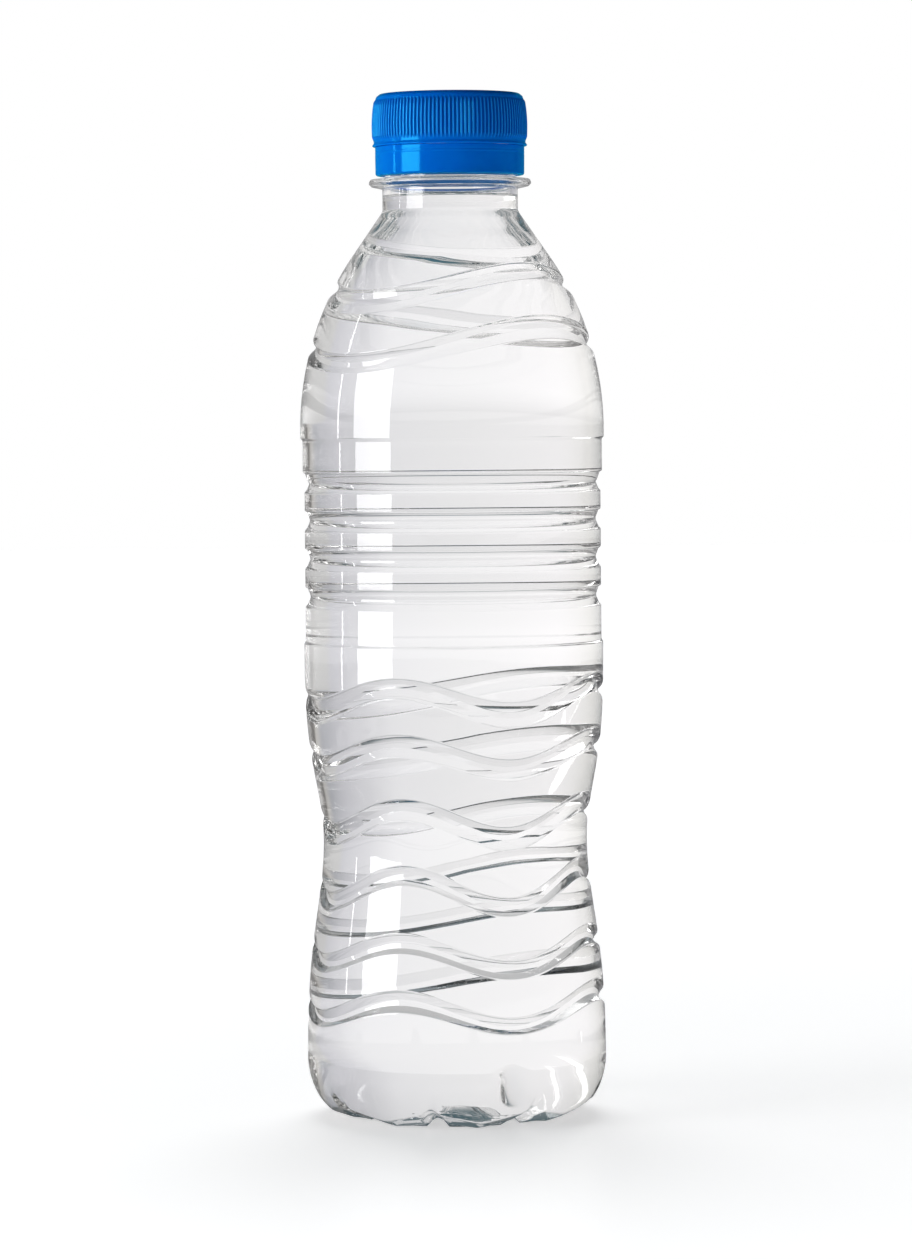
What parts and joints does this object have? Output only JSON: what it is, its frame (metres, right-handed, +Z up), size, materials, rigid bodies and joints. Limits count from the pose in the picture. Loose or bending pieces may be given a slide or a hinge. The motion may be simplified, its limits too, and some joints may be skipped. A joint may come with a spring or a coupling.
{
  "type": "plastic water bottle",
  "caption": "Clear waisted plastic bottle with ring and wave grooves, standing upright full of water, closed by a blue ribbed screw cap with a tamper band.",
  "frame": {"origin": "centre of the circle of feet, on the surface the bottle stands on", "axes": "+Z up along the bottle's axis, towards the cap; -Y towards the front, where a lower groove dips"},
  "size_m": [0.0638, 0.0638, 0.2142],
  "materials": {
    "clear_pet": "clear, blown and moulded",
    "water": "clear liquid",
    "blue_cap_plastic": "satin, moulded"
  },
  "bodies": {
    "container": {"bottle": "clear_pet", "water": "water"},
    "band": {"tamper_band": "blue_cap_plastic"},
    "closure": {"cap": "blue_cap_plastic"}
  },
  "joints": [
    {"name": "unscrew", "type": "hinge", "parent": "container", "child": "band", "pos_m": [0, 0, 0.2], "axis": [0, 0, 1], "range_deg": [0, 400]},
    {"name": "cap_rise", "type": "slide", "parent": "band", "child": "closure", "axis": [0, 0, 1], "range_m": [0, 0.00356]}
  ],
  "couplings": [
    {"joint": "cap_rise", "follows": "unscrew", "m_per_rad": 0.0005093}
  ]
}
